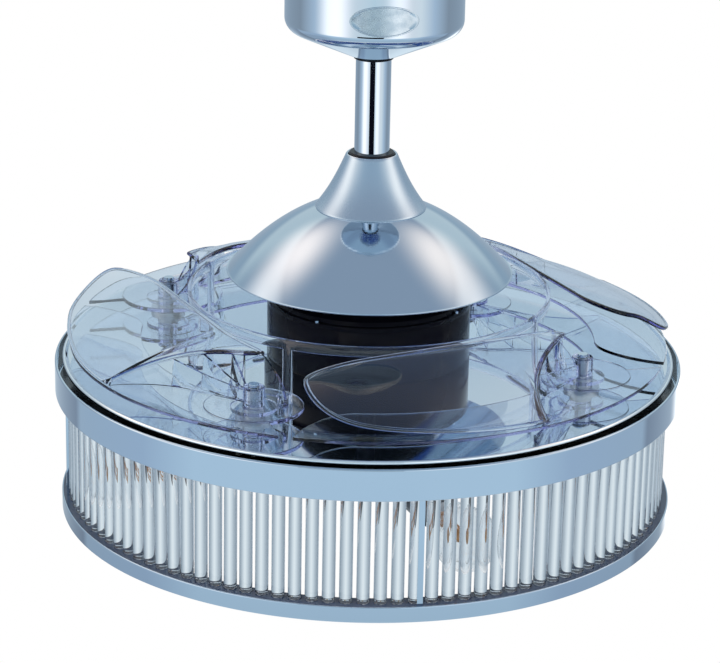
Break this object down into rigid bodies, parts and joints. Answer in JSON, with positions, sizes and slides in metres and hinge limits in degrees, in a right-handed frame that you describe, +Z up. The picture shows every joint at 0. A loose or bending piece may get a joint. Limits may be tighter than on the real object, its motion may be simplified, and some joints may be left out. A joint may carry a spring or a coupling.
{
  "type": "retractable blade ceiling fan",
  "caption": "Ceiling fan on a short downrod: clear blades swing out from a mirror tray as it spins and fold back over a drum light ringed with glass rods.",
  "frame": {"origin": "centre of the ceiling face of the bracket and canopy, on the fan's spin axis", "axes": "+Z up towards the ceiling along the spin axis, +X to the right of the pictured view along the bracket, +Y away from the viewer"},
  "size_m": [0.5699, 0.57, 0.5003],
  "materials": {
    "zinc_steel": "bright zinc plated, fine machining marks",
    "chrome_shell": "polished chrome plate over sheet steel",
    "satin_chrome": "fine satin chrome plate",
    "mirror_tray": "mirror polished steel",
    "black_rubber": "smooth moulded rubber",
    "black_plastic": "moulded, slightly grained",
    "brass_fittings": "turned brass",
    "core_steel": "oiled laminations",
    "copper_coils": "enamelled copper wire",
    "white_enamel": "gloss white stove enamel",
    "rod_glass": "clear drawn glass rod, fire polished",
    "lamp_glass": "clear blown glass",
    "filament": "amber coated filaments",
    "motor_black": "gloss black stove enamel",
    "clear_blade": "clear moulded plastic with a faint lavender cast in its edges",
    "gear_nylon": "natural nylon"
  },
  "bodies": {
    "mount": {"ceiling_bracket": "zinc_steel", "canopy": "chrome_shell", "canopy_screws": "zinc_steel", "receiver_box": "black_plastic"},
    "hanging": {"downrod": "chrome_shell", "hanger_ball": "black_plastic", "ball_pin": "zinc_steel", "canopy_seal": "black_rubber", "rod_yoke": "zinc_steel", "yoke_pin": "zinc_steel", "cone_cover": "satin_chrome", "cone_ring": "black_rubber", "dome": "satin_chrome", "motor_shaft": "zinc_steel", "shaft_nuts": "brass_fittings", "stator_core": "core_steel", "stator_windings": "copper_coils", "light_pan": "white_enamel", "upper_band": "chrome_shell", "lower_ring": "chrome_shell", "glass_rods": "rod_glass", "struts": "chrome_shell", "strut_screws": "zinc_steel", "lamp_hub": "white_enamel", "lamp_holders": "black_plastic", "lamp_caps": "zinc_steel", "lamp_globes": "lamp_glass", "lamp_filaments": "filament"},
    "rotor": {"motor_housing": "motor_black", "motor_cover": "motor_black", "cover_screws": "zinc_steel", "magnet_ring": "core_steel", "motor_bearings": "zinc_steel", "tray": "mirror_tray", "tray_screws": "zinc_steel", "pivot_bushes": "brass_fittings", "spring_barrels": "zinc_steel", "gear_carrier": "zinc_steel", "collar_ring": "clear_blade", "collar_screws": "zinc_steel"},
    "link": {"link_ring": "gear_nylon"},
    "blade_body_1": {"blade_1": "clear_blade", "pivot_shaft_1": "zinc_steel", "pinion_1": "gear_nylon", "hub_screws_1": "zinc_steel"},
    "blade_body_2": {"blade_2": "clear_blade", "pivot_shaft_2": "zinc_steel", "pinion_2": "gear_nylon", "hub_screws_2": "zinc_steel"},
    "blade_body_3": {"blade_3": "clear_blade", "pivot_shaft_3": "zinc_steel", "pinion_3": "gear_nylon", "hub_screws_3": "zinc_steel"},
    "blade_body_4": {"blade_4": "clear_blade", "pivot_shaft_4": "zinc_steel", "pinion_4": "gear_nylon", "hub_screws_4": "zinc_steel"}
  },
  "joints": [
    {"name": "hanger_tilt", "type": "hinge", "parent": "mount", "child": "hanging", "pos_m": [0, 0, -0.036], "axis": [0, 1, 0], "range_deg": [-1.5, 1.5]},
    {"name": "rotor_spin", "type": "hinge", "parent": "hanging", "child": "rotor", "pos_m": [0, 0, -0.36], "axis": [0, 0, 1], "continuous": true},
    {"name": "link_turn", "type": "hinge", "parent": "rotor", "child": "link", "pos_m": [0, 0, -0.36], "axis": [0, 0, 1], "range_deg": [-15, 0.25]},
    {"name": "blade_1_swing", "type": "hinge", "parent": "rotor", "child": "blade_body_1", "pos_m": [-0.09625, -0.18889, -0.36], "axis": [0, 0, 1], "range_deg": [0, 118], "stiffness_Nm_per_rad": 0.12, "springref_deg": -20.05},
    {"name": "blade_2_swing", "type": "hinge", "parent": "rotor", "child": "blade_body_2", "pos_m": [0.18889, -0.09625, -0.36], "axis": [0, 0, 1], "range_deg": [0, 118]},
    {"name": "blade_3_swing", "type": "hinge", "parent": "rotor", "child": "blade_body_3", "pos_m": [0.09625, 0.18889, -0.36], "axis": [0, 0, 1], "range_deg": [0, 118]},
    {"name": "blade_4_swing", "type": "hinge", "parent": "rotor", "child": "blade_body_4", "pos_m": [-0.18889, 0.09625, -0.36], "axis": [0, 0, 1], "range_deg": [0, 118]}
  ],
  "couplings": [
    {"joint": "blade_2_swing", "follows": "blade_1_swing", "ratio": 1},
    {"joint": "blade_3_swing", "follows": "blade_1_swing", "ratio": 1},
    {"joint": "blade_4_swing", "follows": "blade_1_swing", "ratio": 1},
    {"joint": "link_turn", "follows": "blade_1_swing", "ratio": -0.125}
  ]
}
